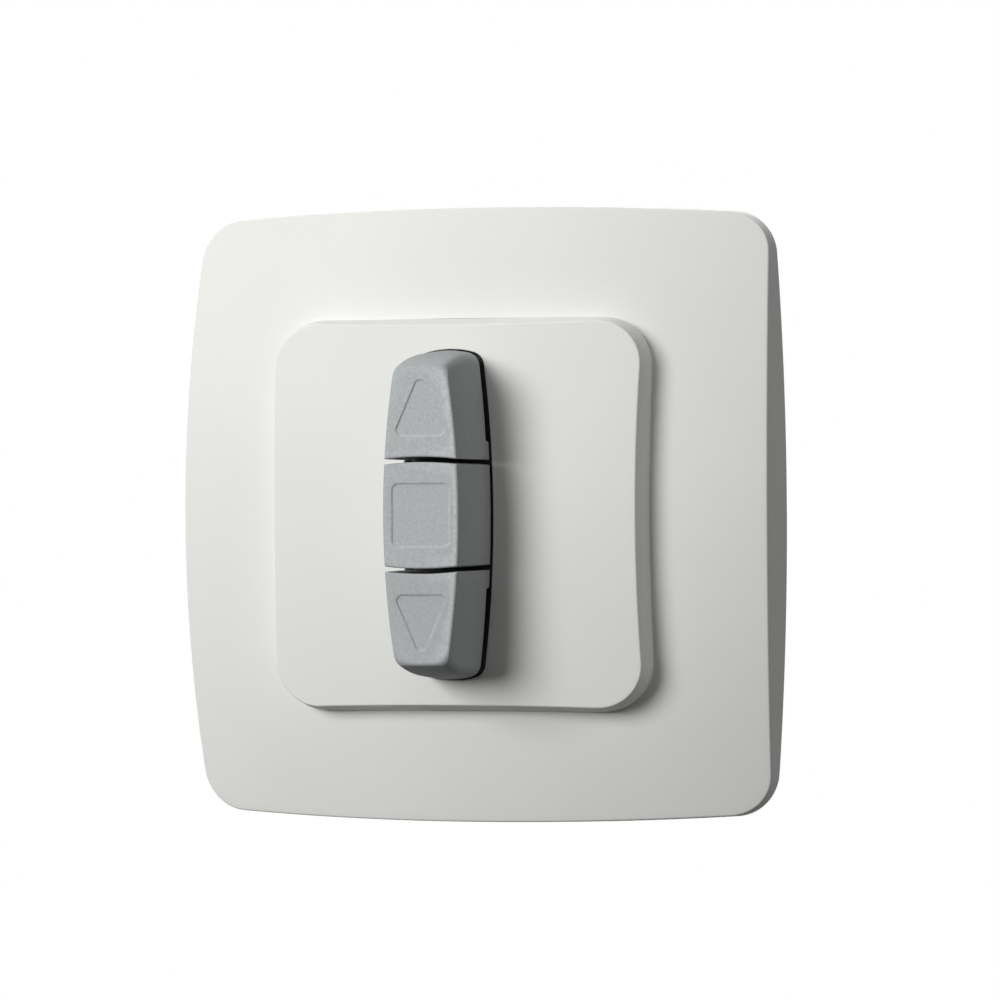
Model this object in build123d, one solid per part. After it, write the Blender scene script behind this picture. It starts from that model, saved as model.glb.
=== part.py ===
from build123d import *
import os
from math import atan, degrees, hypot, radians, sqrt, tan

# A flush roller shutter switch with three push keys, in millimetres.
# Each piece is drawn with X to the right, Y up the wall and Z out of the wall from the wall's face,
# and is stood upright when it is written: the front then faces -Y, and +Z is up.

# Cover frame
frame_width = 81.0  # at the wall, from the middle of one side to the middle of the other
frame_edge_height = 7.8  # wall to front edge, at the middle of a side
frame_dome = 128.0  # radius of the domed front
frame_bow = 500.0  # radius of the bowed sides
frame_corner = 6.0
frame_draft = 2.9  # degrees
frame_wall = 2.2
frame_round = 0.4
collar_wall = 1.6  # wall round the opening for the centre plate
ledge_thickness = 1.6  # ledge that the centre plate stands on
ledge_overlap = 2.4
rib_thickness = 1.2
rib_spread = 14.0  # each rib's distance from the middle of its side

# Centre plate
plate_width = 49.3  # at the front edge
plate_rise = 3.7  # front edge above the frame, at the middle of a side
plate_dome = 140.0
plate_corner = 5.7
plate_flare = 0.85  # how much the foot is wider than the front edge, on each side
plate_wall = 2.0
plate_round = 0.3
plate_gap = 0.12  # clearance between plate and frame
seat_depth = 1.8  # least depth of the plate in the frame, at its corners
skirt_height = 3.5  # straight foot of the plate's wall, up to the frame's front

# Keys
key_rise = 10.7  # front of the keys above the plate's crown
key_width = 10.25  # front, at the middle of the strip
key_draft = 3.7  # degrees, on the long sides
key_front_length = 38.2
key_foot_length = 42.6
key_end_bulge = 0.5
key_side_bow = 118.0
key_front_end_bow = 40.0
key_foot_end_bow = 12.0
key_front_corner = 1.2
key_foot_corner = 2.0
key_round = 0.4
key_wall = 1.3
key_inner_corner = 0.4
key_gap = 0.64  # between two keys
key_gap_place = 7.12  # middle of a gap, from the middle of the strip
key_gap_bow = 42.0
key_gap_round = 0.25
key_side_gap = 0.34  # between key and plate along the sides
key_end_gap = 0.12
key_travel = 1.0
press_clearance = 0.35  # left behind a key when it is pressed
skirt_step = 0.9  # the outer ends of the keys stop this much above the plate
skirt_step_place = 9.4

# Recesses in the fronts of the keys: two arrows and a square
recess_depth = 0.25
arrow_base_place = 10.1
arrow_height = 8.4
arrow_width = 7.5
arrow_corner = 0.8
square_width = 7.8
square_height = 8.2
square_corner = 0.9

# Key stems, each a cross with two hooks that hold the key in the bed
stem_width = 5.0
stem_height = 6.0
stem_rib = 1.4
stem_place = 13.5
stem_clearance = 0.15
hook_reach = 0.6
hook_height = 1.0
hook_clearance = 0.1

# Key bed
bed_end_gap = 1.15  # bed to the plate's wall, above and below
bed_corner = 3.0
bed_wall = 1.5
bed_clearance = 0.55  # deck to the plate's underside, at the bed's corners
bed_gap = 0.2  # boss to the plate's opening
deck_thickness = 1.6
hook_pocket = 1.6  # depth of the pocket above the deck's underside
boss_drop = 2.0  # boss below the plate's front
post_radius = 3.4

# Snap legs of the centre plate, two on the left and two on the right
leg_place = 10.0  # from the middle of the side
leg_width = 6.0
leg_thickness = 1.3
leg_gap = 0.3  # leg to the bed's wall
leg_flex = 0.75  # room for a leg to spring outwards
leg_reach = 4.6  # end of the leg above the support plate
nose_reach = 0.8
nose_height = 1.8
window_play = 0.15

# Push switches
switch_width = 6.0
switch_floor = 0.6
switch_roof = 0.6
switch_stem_radius = 1.6
switch_flange_radius = 1.9
switch_flange = 0.7
switch_play = 0.1
switch_round = 0.4
spring_radius = 1.4
spring_wire = 0.13
spring_turns = 2.5
spring_pressed = 0.8  # height left for the spring when a key is pressed

# Boards and the link between them
board_thickness = 1.6
key_board_gap = 1.3  # board to the bed's wall
key_board_notch = 5.6
board_post_x = 13.5
board_post_y = 9.0
board_post_radius = 2.3
chip_x = 9.5
chip_y = 2.0
chip_width = 3.9
chip_length = 8.7
chip_height = 1.5
link_place = -8.0
link_pitch = 2.54
link_pin_count = 6
link_body = 2.5
pin_width = 0.64
pin_tail = 1.0
pin_hole_radius = 0.5
link_slot_play = 0.3

# Support plate
support_gap = 2.8  # plate to the cover frame's wall
support_corner = 7.0
support_sheet = 1.2
support_lip = 3.0
support_lip_length = 44.0
wall_screw_circle = 60.0
wall_screw_hole = 4.2

# Insert
insert_depth = 24.0
insert_chamfer = 4.7
insert_wall = 1.6
insert_round = 1.2  # rear edges
insert_post_radius = 3.3
insert_post_gap = 0.2  # post to the inside of the wall
vent_count = 4  # slots on each side of a wall's middle
vent_pitch = 2.4
vent_width = 1.2
vent_low = 4.0  # ends of the slots, from the back of the insert
vent_high = 14.0
label_width = 30.0  # sunk field for a label, on the back
label_height = 19.0
label_corner = 1.5
label_depth = 0.3
lid_thickness = 1.5
lid_play = 0.15
lid_seat = 1.0
board_seat = 2.0
seat_width = 6.0
power_board_gap = 1.5  # lid to board

# Parts on the power board
part_gap = 1.9  # between a part and its neighbour
part_side_gap = 0.7  # from the relays to the board's seats
relay_length = 17.0
relay_width = 10.1
relay_height = 12.3
relay_gap = 1.4  # between the two relays
dropper_length = 16.0
dropper_width = 8.0
dropper_height = 13.0
dropper_y = -3.0
smoothing_radius = 4.0
smoothing_height = 12.0
varistor_radius = 3.8
varistor_thickness = 3.6
varistor_gap = 0.6
fuse_length = 8.4
fuse_width = 4.2
fuse_height = 8.0
fuse_x = -8.0
fuse_gap = 1.2
component_round = 0.5

# Terminals
pole_count = 5
pole_pitch = 5.08
terminal_depth = 10.4
terminal_height = 12.0
terminal_play = 0.1
mouth_width = 3.0
mouth_depth = 2.2
clamp_width = 3.6
clamp_height = 4.4
clamp_length = 6.0
clamp_bore = 2.4
terminal_screw_head = 1.7
terminal_screw_head_height = 1.4
terminal_screw_shank = 1.0
terminal_well_play = 0.15

# Screws
assembly_head = 2.6
assembly_head_height = 1.9
assembly_shank = 1.45
assembly_grip = 9.0  # length in the insert's posts
assembly_play = 0.2
board_screw_head = 1.9
board_screw_head_height = 1.2
board_screw_shank = 0.9
board_screw_grip = 3.4
board_screw_play = 0.1
slot_width = 0.6
slot_depth = 0.6


def sagitta(radius, half_chord):
    """Height of an arc over half a chord."""
    return radius - sqrt(radius**2 - half_chord**2)


def corner_reach(half, corner):
    """Distance from the middle of a rounded square to its corner."""
    return (half - corner) * sqrt(2) + corner


# Levels above the wall, worked out from the sizes above
frame_half = frame_width / 2
frame_edge_half = frame_half - frame_edge_height * tan(radians(frame_draft))
frame_crown = frame_edge_height + sagitta(frame_dome, frame_edge_half)
plate_half = plate_width / 2
foot_half = plate_half + plate_flare
foot_corner = plate_corner + plate_flare
plate_seat = frame_crown - sagitta(frame_dome, corner_reach(foot_half, foot_corner)) - seat_depth
plate_shoulder = plate_seat + skirt_height
plate_edge_height = frame_crown - sagitta(frame_dome, foot_half) + plate_rise
plate_crown = plate_edge_height + sagitta(plate_dome, plate_half)
plate_centre = plate_crown - plate_dome
hollow_half = foot_half - plate_wall - plate_flare / 2
key_front = plate_crown + key_rise
bed_half = hollow_half - leg_flex - leg_thickness - leg_gap
bed_width = 2 * bed_half
bed_height = 2 * (hollow_half - bed_end_gap)
bed_reach = hypot(bed_half - bed_corner, bed_height / 2 - bed_corner) + bed_corner
deck_top = plate_centre + sqrt((plate_dome - plate_wall) ** 2 - bed_reach**2) - bed_clearance
deck_bottom = deck_top - deck_thickness
hook_top = deck_bottom + hook_pocket - hook_clearance
stem_foot = hook_top - hook_height
switch_top = stem_foot - key_travel - press_clearance
flange_top = switch_top - switch_roof - switch_play
flange_bottom = flange_top - switch_flange
key_board_front = flange_bottom - key_travel - spring_pressed - switch_floor
key_board_back = key_board_front - board_thickness
key_board_width = bed_width - 2 * (bed_wall + key_board_gap)
support_width = frame_width - 2 * (frame_wall + support_gap)
lid_bottom = -lid_thickness
power_board_front = lid_bottom - power_board_gap
power_board_back = power_board_front - board_thickness
insert_half = relay_gap / 2 + relay_length + part_side_gap + board_seat + insert_wall
insert_width = 2 * insert_half
post_place = insert_half - insert_wall - insert_post_gap - insert_post_radius
terminal_width = pole_count * pole_pitch
terminal_back = power_board_back - terminal_height
relay_x = (relay_length + relay_gap) / 2
relay_y = dropper_y + dropper_width / 2 + part_gap + relay_width / 2
row_length = dropper_length + part_gap + 2 * smoothing_radius + varistor_gap + 2 * varistor_radius
dropper_x = (dropper_length - row_length) / 2
smoothing_x = dropper_x + dropper_length / 2 + part_gap + smoothing_radius
varistor_x = smoothing_x + smoothing_radius + varistor_gap + varistor_radius
fuse_y = relay_y + relay_width / 2 + fuse_gap + fuse_width / 2
opening_half_x = key_width / 2 + key_rise * tan(radians(key_draft)) + key_side_gap
opening_half_y = key_foot_length / 2 + key_end_gap
post_places = [(x, y) for x in (-post_place, post_place) for y in (-post_place, post_place)]
board_posts = [(x, y) for x in (-board_post_x, board_post_x) for y in (-board_post_y, board_post_y)]
pole_places = [(i - (pole_count - 1) / 2) * pole_pitch for i in range(pole_count)]


standing = (Align.CENTER, Align.CENTER, Align.MIN)


def block(size_x, size_y, bottom, top, x=0.0, y=0.0):
    """Upright block centred on x and y."""
    return Pos(x, y, bottom) * Box(size_x, size_y, top - bottom, align=standing)


def rod(radius, bottom, top, x=0.0, y=0.0):
    """Upright cylinder centred on x and y."""
    return Pos(x, y, bottom) * Cylinder(radius, top - bottom, align=standing)


def prism(outline, bottom, top):
    """Outline carried straight up from one level to another."""
    return Pos(0, 0, bottom) * extrude(outline, amount=top - bottom)


def ball(centre, radius):
    return Pos(0, 0, centre) * Sphere(radius)


def rounded_square(half, corner):
    return RectangleRounded(2 * half, 2 * half, corner)


def bowed_outline(half_x, half_y, bow_x, bow_y, corner):
    """Rectangle with bowed sides: the half sizes are those at the middle of the sides."""
    corner_x, corner_y = half_x, half_y
    for _ in range(12):
        corner_x, corner_y = half_x - sagitta(bow_x, corner_y), half_y - sagitta(bow_y, corner_x)
    corners = [(corner_x, -corner_y), (corner_x, corner_y), (-corner_x, corner_y), (-corner_x, -corner_y)]
    middles = [(half_x, 0), (0, half_y), (-half_x, 0), (0, -half_y)]
    sides = [ThreePointArc(corners[i], middles[i], corners[(i + 1) % 4]) for i in range(4)]
    return fillet(make_face(sides).vertices(), corner)


def lens(half_height):
    """Area between two arcs that bow away from the middle of the strip."""
    bow = key_gap_bow + half_height - key_gap_place
    return Pos(0, half_height - bow) * Circle(bow) & Pos(0, bow - half_height) * Circle(bow)


def screw(head_radius, head_height, shank_radius, shank_length):
    """Slotted pan head standing on z = 0, with its shank below."""
    head = chamfer(rod(head_radius, 0, head_height).edges().group_by(Axis.Z)[-1], head_height / 4)
    slot = block(2 * head_radius, slot_width, head_height - slot_depth, head_height)
    return head + rod(shank_radius, -shank_length, 0) - slot


# Front pieces


def cover_frame():
    outline = bowed_outline(frame_half, frame_half, frame_bow, frame_bow, frame_corner)
    centre = frame_crown - frame_dome
    shell = extrude(outline, amount=frame_crown, taper=frame_draft) & ball(centre, frame_dome)
    front = shell.faces().filter_by(GeomType.SPHERE)[0]
    shell = fillet(front.edges(), frame_round)
    inner = bowed_outline(
        frame_half - frame_wall, frame_half - frame_wall, frame_bow, frame_bow, frame_corner - frame_wall
    )
    cavity = prism(inner, 0, frame_crown) & ball(centre, frame_dome - frame_wall)
    collar_half = foot_half + plate_gap + collar_wall
    ledge_bottom = plate_seat - ledge_thickness
    collar_outline = rounded_square(collar_half, foot_corner + plate_gap + collar_wall)
    collar = prism(collar_outline, ledge_bottom, frame_crown)
    ribs = []
    for turn in range(4):
        for place in (-rib_spread, rib_spread):
            rib = block(frame_half - collar_half, rib_thickness, ledge_bottom, frame_crown)
            ribs.append(Rot(0, 0, 90 * turn) * Pos((frame_half + collar_half) / 2, place, 0) * rib)
    inside = (collar + ribs) & cavity
    opening = prism(rounded_square(foot_half + plate_gap, foot_corner + plate_gap), plate_seat, frame_crown)
    ledge_half = foot_half - ledge_overlap
    way_through = prism(rounded_square(ledge_half, foot_corner - ledge_overlap), 0, frame_crown)
    return shell - cavity + inside - opening - way_through


def centre_plate():
    foot = rounded_square(foot_half, foot_corner)
    taper = degrees(atan(plate_flare / (plate_edge_height - plate_shoulder)))
    wall = Pos(0, 0, plate_shoulder) * extrude(foot, amount=plate_crown - plate_shoulder, taper=taper)
    shell = (prism(foot, plate_seat, plate_shoulder) + wall) & ball(plate_centre, plate_dome)
    front = shell.faces().filter_by(GeomType.SPHERE)[0]
    shell = fillet(front.edges(), plate_round)
    hollow = prism(rounded_square(hollow_half, foot_corner - plate_wall), plate_seat, plate_crown)
    hollow = hollow & ball(plate_centre, plate_dome - plate_wall)
    opening = prism(key_opening(0), plate_seat, plate_crown)
    legs = (Part() + side_copies(snap_leg())) & ball(plate_centre, plate_dome - plate_wall / 2)
    return shell - hollow + legs - opening


def side_copies(piece):
    """Two copies of a piece on the right side, and two on the left."""
    right = [Pos(0, place, 0) * piece for place in (-leg_place, leg_place)]
    return right + [Rot(0, 0, 180) * copy for copy in right]


def snap_leg():
    """Leg that hangs beside the bed's wall, with a nose that catches in the wall's window."""
    face = bed_half + leg_gap
    foot = support_sheet + leg_reach
    nose = foot + nose_height
    outline = Polyline(
        (face, plate_crown),
        (face, nose),
        (face - nose_reach, nose),
        (face, foot),
        (face + leg_thickness, foot),
        (face + leg_thickness, plate_crown),
        close=True,
    )
    return extrude(Plane.XZ * make_face(outline), amount=leg_width / 2, both=True)


def key_opening(inset):
    """Long opening in the plate for the strip of keys."""
    half_x, half_y = opening_half_x - inset, opening_half_y - inset
    return bowed_outline(half_x, half_y, key_side_bow, key_foot_end_bow, key_foot_corner)


def key_strip(inset):
    """The whole strip of keys: drafted sides, and ends that bulge as they slope."""
    foot = plate_centre + sqrt(plate_dome**2 - (key_foot_length / 2) ** 2)
    middle = (foot + key_front) / 2
    mid_length = (key_foot_length + key_front_length) / 2 + 2 * key_end_bulge
    mid_corner = (key_foot_corner + key_front_corner) / 2
    mid_bow = 2 / (1 / key_foot_end_bow + 1 / key_front_end_bow)
    below = 2 * foot - middle
    below_length = 2 * key_foot_length - mid_length
    levels = [
        (below, below_length, key_foot_end_bow, key_foot_corner),
        (foot, key_foot_length, key_foot_end_bow, key_foot_corner),
        (middle, mid_length, mid_bow, mid_corner),
        (key_front - inset, key_front_length, key_front_end_bow, key_front_corner),
    ]
    sections = []
    for level, length, end_bow, corner in levels:
        half_x = key_width / 2 + (key_front - level) * tan(radians(key_draft)) - inset
        half_y = length / 2 - inset
        corner = key_inner_corner if inset else corner
        outline = bowed_outline(half_x, half_y, key_side_bow, end_bow, corner)
        sections.append(Pos(0, 0, level) * outline)
    strip = loft(sections)
    if inset:
        return strip
    return fillet(strip.faces().sort_by(Axis.Z)[-1].edges(), key_round)


def outer_zone(edge):
    """Everything above the strip's middle and beyond a gap's edge."""
    return Pos(0, key_foot_length / 2) * Rectangle(key_foot_length, key_foot_length) - lens(edge)


def arrow():
    """Triangle that points up the wall."""
    half = arrow_width / 2
    tip = arrow_base_place + arrow_height
    outline = Polyline((-half, arrow_base_place), (half, arrow_base_place), (0, tip), close=True)
    return fillet(make_face(outline).vertices(), arrow_corner)


def on_gap_rim(edge):
    """Whether an edge runs along a gap, at the front of the keys."""
    middle = edge.center()
    at_front = abs(middle.Z - key_front) < key_gap_round
    return at_front and abs(abs(middle.Y) - key_gap_place) < key_gap


def key(zone, cavity_zone, recess, place):
    """Cap with a recess in its front, hollow from behind, on a stem that is hooked into the bed."""
    low, high = -key_foot_length, key_front + key_rise
    cap = key_strip(0) & prism(zone, low, high)
    cap = fillet(cap.edges().filter_by(on_gap_rim), key_gap_round)
    cap = cap - prism(recess, key_front - recess_depth, high)
    hollow = key_strip(key_wall) & prism(cavity_zone, low, high)
    step = ball(plate_centre, plate_dome + skirt_step)
    step = step - block(key_foot_length, 2 * skirt_step_place, low, high)
    return cap - hollow - ball(plate_centre, plate_dome) - step + stem(place)


def stem(place):
    """Cross that reaches from the cap's roof to the switch, with a hook on each side."""
    roof = key_front - key_wall
    cross = block(stem_width, stem_rib, stem_foot, roof) + block(stem_rib, stem_height, stem_foot, roof)
    edge = stem_width / 2
    tip = edge + stem_clearance + hook_reach
    hook = make_face(
        Polyline((0, hook_top), (tip, hook_top), (edge, stem_foot), (0, stem_foot), close=True)
    )
    hook = extrude(Plane.XZ * hook, amount=stem_rib / 2, both=True)
    return Pos(0, place, 0) * (cross + hook + mirror(hook, Plane.YZ))


def arrow_key():
    edge = key_gap_place + key_gap / 2
    return key(outer_zone(edge), outer_zone(edge + key_wall), arrow(), stem_place)


def square_key():
    edge = key_gap_place - key_gap / 2
    recess = RectangleRounded(square_width, square_height, square_corner)
    return key(lens(edge), lens(edge - key_wall), recess, 0.0)


def key_bed():
    """Tray under the keys: a deck on four walls, with a boss that fills the plate's opening."""
    outline = RectangleRounded(bed_width, bed_height, bed_corner)
    inner = RectangleRounded(bed_width - 2 * bed_wall, bed_height - 2 * bed_wall, bed_corner - bed_wall)
    bed = prism(outline, support_sheet, deck_top) - prism(inner, support_sheet, deck_bottom)
    rim = block(bed_width, 2 * skirt_step_place, deck_top, plate_crown)
    rim = rim & ball(plate_centre, plate_dome - key_travel - press_clearance)
    boss = prism(key_opening(bed_gap), deck_top, plate_crown)
    bed += boss & (ball(plate_centre, plate_dome - boss_drop) + rim)
    bed += [rod(post_radius, support_sheet, deck_top, x, y) for x, y in post_places]
    bed += [rod(board_post_radius, key_board_front, deck_bottom, x, y) for x, y in board_posts]
    bed -= [guide(place) for place in (-stem_place, 0.0, stem_place)]
    head_seat = deck_top - assembly_head_height - assembly_play
    for x, y in post_places:
        bed -= rod(assembly_shank + assembly_play, support_sheet, deck_top, x, y)
        bed -= rod(assembly_head + assembly_play, head_seat, deck_top, x, y)
    pilot_end = key_board_front + board_screw_grip - board_thickness
    bed -= [rod(board_screw_shank, key_board_front, pilot_end, x, y) for x, y in board_posts]
    window_bottom = support_sheet + leg_reach - window_play
    window = block(
        2 * bed_wall,
        leg_width + 2 * window_play,
        window_bottom,
        window_bottom + nose_height + 2 * window_play,
        x=bed_half,
    )
    return bed - side_copies(window)


def guide(place):
    """Way through the bed for a key's stem, with a pocket for its hooks."""
    hole = block(
        stem_width + 2 * stem_clearance, stem_height + 2 * stem_clearance, support_sheet, key_front, y=place
    )
    hook_room = stem_width + 2 * (stem_clearance + hook_reach + stem_clearance)
    pocket = block(
        hook_room, stem_rib + 2 * stem_clearance, deck_bottom, deck_bottom + hook_pocket, y=place
    )
    return hole + pocket


# Key board


def key_board():
    outline = Rectangle(key_board_width, key_board_width)
    corner = (key_board_width - key_board_notch) / 2
    outline -= [place * Rectangle(key_board_notch, key_board_notch)
                for place in GridLocations(2 * corner, 2 * corner, 2, 2)]
    board = prism(outline, key_board_back, key_board_front)
    hole = board_screw_shank + board_screw_play
    board -= [rod(hole, key_board_back, key_board_front, x, y) for x, y in board_posts]
    return board - pin_holes(key_board_back, key_board_front)


def pin_places():
    return [((i - (link_pin_count - 1) / 2) * link_pitch, link_place) for i in range(link_pin_count)]


def pin_holes(bottom, top):
    return [rod(pin_hole_radius, bottom, top, x, y) for x, y in pin_places()]


def board_screws():
    one = screw(board_screw_head, board_screw_head_height, board_screw_shank, board_screw_grip)
    return [Pos(x, y, key_board_back) * Rot(180, 0, 0) * one for x, y in board_posts]


def controller_chip():
    body = block(chip_width, chip_length, key_board_front, key_board_front + chip_height, chip_x, chip_y)
    return chamfer(body.edges().group_by(Axis.Z)[-1], chip_height / 5)


def push_switch(place):
    """Switch body with a chamber for its stem and spring."""
    body = block(switch_width, switch_width, key_board_front, switch_top)
    body = fillet(body.edges().filter_by(Axis.Z), switch_round)
    floor = key_board_front + switch_floor
    chamber = rod(switch_flange_radius + switch_play, floor, switch_top - switch_roof)
    neck = rod(switch_stem_radius + switch_play, floor, switch_top)
    return Pos(0, place, 0) * (body - chamber - neck)


def switch_stem(place):
    flange = rod(switch_flange_radius, flange_bottom, flange_top)
    return Pos(0, place, 0) * (flange + rod(switch_stem_radius, flange_bottom, stem_foot))


def switch_spring(place):
    """Coil between the chamber's floor and the stem's flange."""
    low = key_board_front + switch_floor + spring_wire
    height = flange_bottom - spring_wire - low
    path = Helix(height / spring_turns, height, spring_radius)
    wire = RegularPolygon(spring_wire, 6)
    section = Plane(origin=path @ 0, z_dir=path % 0) * wire
    return Pos(0, place, low) * sweep(section, path)


def link_header():
    size_x = link_pin_count * link_pitch
    body = block(size_x, link_body, power_board_front, key_board_back, y=link_place)
    return body - link_pin_group()


def link_pin_group():
    low, high = power_board_back - pin_tail, key_board_front + pin_tail
    return [block(pin_width, pin_width, low, high, x, y) for x, y in pin_places()]


# Support plate and insert


def support_plate():
    half = support_width / 2
    plate = prism(rounded_square(half, support_corner), 0, support_sheet)
    lip_y = half - support_sheet / 2
    lip = block(support_lip_length, support_sheet, 0, support_lip + support_sheet, y=lip_y)
    plate += [lip, mirror(lip, Plane.XZ)]
    ring = PolarLocations(wall_screw_circle / 2, 4)
    plate -= [place * rod(wall_screw_hole / 2, 0, support_sheet) for place in ring]
    plate -= [rod(assembly_shank + assembly_play, 0, support_sheet, x, y) for x, y in post_places]
    return plate - link_slot(0, support_sheet)


def link_slot(bottom, top):
    size_x = link_pin_count * link_pitch + 2 * link_slot_play
    return block(size_x, link_body + 2 * link_slot_play, bottom, top, y=link_place)


def insert_outline(inset):
    side = insert_width - 2 * inset
    return chamfer(Rectangle(side, side).vertices(), insert_chamfer - inset * (2 - sqrt(2)))


def terminal_bay(extra):
    """Part of the insert, behind the board, that is left open for the terminals."""
    size_y = terminal_depth + extra
    size_x = terminal_width + 2 * terminal_play + 2 * extra
    return block(size_x, size_y, -insert_depth, power_board_back, y=size_y / 2 - insert_half)


def insert_housing():
    floor = insert_wall - insert_depth
    body = prism(insert_outline(0), -insert_depth, 0)
    body = fillet(body.edges().group_by(Axis.Z)[0], insert_round)
    room = prism(insert_outline(insert_wall), floor, 0)
    inside = [rod(insert_post_radius, floor, 0, x, y) for x, y in post_places]
    wall = insert_half - insert_wall
    for turn in (0, 90, 180):
        seat = block(board_seat, seat_width, floor, power_board_back, x=wall - board_seat / 2)
        seat += block(lid_seat, seat_width, floor, lid_bottom, x=wall - lid_seat / 2)
        inside.append(Rot(0, 0, turn) * seat)
    inside.append(terminal_bay(insert_wall + terminal_play))
    housing = body - room + ((Part() + inside) & body)
    housing -= terminal_bay(terminal_play)
    housing -= [Rot(0, 0, turn) * slot for turn in (0, 90, 180) for slot in vents()]
    label = RectangleRounded(label_width, label_height, label_corner)
    housing -= Pos(0, label_y(), 0) * prism(label, -insert_depth, label_depth - insert_depth)
    return housing - [rod(assembly_shank, -assembly_grip - assembly_play, 0, x, y) for x, y in post_places]


def vents():
    """Slots through the right wall, above and below the seat in its middle."""
    first = seat_width / 2 + vent_pitch - vent_width / 2
    low, high = vent_low - insert_depth, vent_high - insert_depth
    places = [first + i * vent_pitch for i in range(vent_count)]
    wall_middle = insert_half - insert_wall / 2
    return [
        block(2 * insert_wall, vent_width, low, high, wall_middle, side * place)
        for side in (-1, 1)
        for place in places
    ]


def label_y():
    """Middle of the label's field, half way between the terminals' bay and the upper edge."""
    return (terminal_depth + insert_wall) / 2


def insert_lid():
    lid = prism(insert_outline(insert_wall + lid_play), lid_bottom, 0)
    lid -= [rod(insert_post_radius + lid_play, lid_bottom, 0, x, y) for x, y in post_places]
    return lid - link_slot(lid_bottom, 0)


def power_board():
    side = insert_width - 2 * (insert_wall + lid_seat + lid_play)
    outline = chamfer(Rectangle(side, side).vertices(), insert_chamfer)
    board = prism(outline, power_board_back, power_board_front)
    hole = insert_post_radius + lid_play
    board -= [rod(hole, power_board_back, power_board_front, x, y) for x, y in post_places]
    return board - pin_holes(power_board_back, power_board_front)


def component(length, width, height, x, y):
    """Boxed part that hangs from the back of the power board."""
    body = block(length, width, power_board_back - height, power_board_back, x, y)
    return fillet(body.edges().filter_by(Axis.Z), component_round)


def smoothing_capacitor():
    bottom = power_board_back - smoothing_height
    can = rod(smoothing_radius, bottom, power_board_back, smoothing_x, dropper_y)
    return chamfer(can.edges().group_by(Axis.Z)[0], component_round)


def varistor():
    disc = Rot(90, 0, 0) * Cylinder(varistor_radius, varistor_thickness)
    disc = chamfer(disc.edges().filter_by(GeomType.CIRCLE), component_round)
    return Pos(varistor_x, dropper_y, power_board_back - varistor_radius) * disc


def terminal_block():
    middle = terminal_depth / 2 - insert_half
    body = block(terminal_width, terminal_depth, terminal_back, power_board_back, y=middle)
    for x in pole_places:
        body -= block(mouth_width, mouth_width, terminal_back, terminal_back + mouth_depth, x, clamp_y())
        body -= clamp_room(x)
        body -= screw_axis(x) * rod(terminal_screw_head + terminal_well_play, 0, terminal_depth)
    return body


def clamp_y():
    """Middle of a clamp, which stands against the bottom of its screw's well."""
    well = insert_half - terminal_screw_head_height - insert_wall
    return clamp_height / 2 - well


def clamp_bottom():
    return terminal_back + mouth_depth


def clamp_room(x):
    return block(clamp_width, clamp_height, clamp_bottom(), clamp_bottom() + clamp_length, x, clamp_y())


def screw_axis(x):
    """Frame at the clamp's lower face, with Z pointing down the wall."""
    return Pos(x, clamp_y() - clamp_height / 2, clamp_bottom() + clamp_length / 2) * Rot(90, 0, 0)


def terminal_clamps():
    """Cage clamps: square tubes along the wire, with a hole for the screw."""
    clamps = []
    for x in pole_places:
        wire = block(clamp_bore, clamp_bore, clamp_bottom(), clamp_bottom() + clamp_length, x, clamp_y())
        hole = screw_axis(x) * rod(terminal_screw_shank, -clamp_height / 2, 0)
        clamps.append(clamp_room(x) - wire - hole)
    return clamps


def terminal_screws():
    shank = (clamp_height - clamp_bore) / 2
    one = screw(terminal_screw_head, terminal_screw_head_height, terminal_screw_shank, shank)
    return [screw_axis(x) * one for x in pole_places]


def assembly_screws():
    seat = deck_top - assembly_head_height - assembly_play
    one = screw(assembly_head, assembly_head_height, assembly_shank, seat + assembly_grip)
    return [Pos(x, y, seat) * one for x, y in post_places]


outer_key = arrow_key()
switch_places = {"up": stem_place, "stop": 0.0, "down": -stem_place}
pieces = {
    "cover_frame": cover_frame(),
    "centre_plate": centre_plate(),
    "key_bed": key_bed(),
    "up_key": outer_key,
    "stop_key": square_key(),
    "down_key": Rot(0, 0, 180) * outer_key,
    "key_board": key_board(),
    "board_screws": board_screws(),
    "controller_chip": controller_chip(),
    "link_header": link_header(),
    "link_pins": link_pin_group(),
    "support_plate": support_plate(),
    "assembly_screws": assembly_screws(),
    "insert_lid": insert_lid(),
    "insert_housing": insert_housing(),
    "power_board": power_board(),
    "up_relay": component(relay_length, relay_width, relay_height, -relay_x, relay_y),
    "down_relay": component(relay_length, relay_width, relay_height, relay_x, relay_y),
    "dropper_capacitor": component(dropper_length, dropper_width, dropper_height, dropper_x, dropper_y),
    "smoothing_capacitor": smoothing_capacitor(),
    "varistor": varistor(),
    "fuse": component(fuse_length, fuse_width, fuse_height, fuse_x, fuse_y),
    "terminal_block": terminal_block(),
    "terminal_clamps": terminal_clamps(),
    "terminal_screws": terminal_screws(),
}
for name, place in switch_places.items():
    pieces[f"{name}_switch"] = push_switch(place)
    pieces[f"{name}_switch_stem"] = switch_stem(place)
    pieces[f"{name}_switch_spring"] = switch_spring(place)

os.makedirs("parts", exist_ok=True)
stand = Rot(90, 0, 0)
for name, piece in pieces.items():
    solids = piece if isinstance(piece, list) else piece.solids()
    export_step(stand * Compound(children=list(solids)), f"parts/{name}.step")
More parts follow.
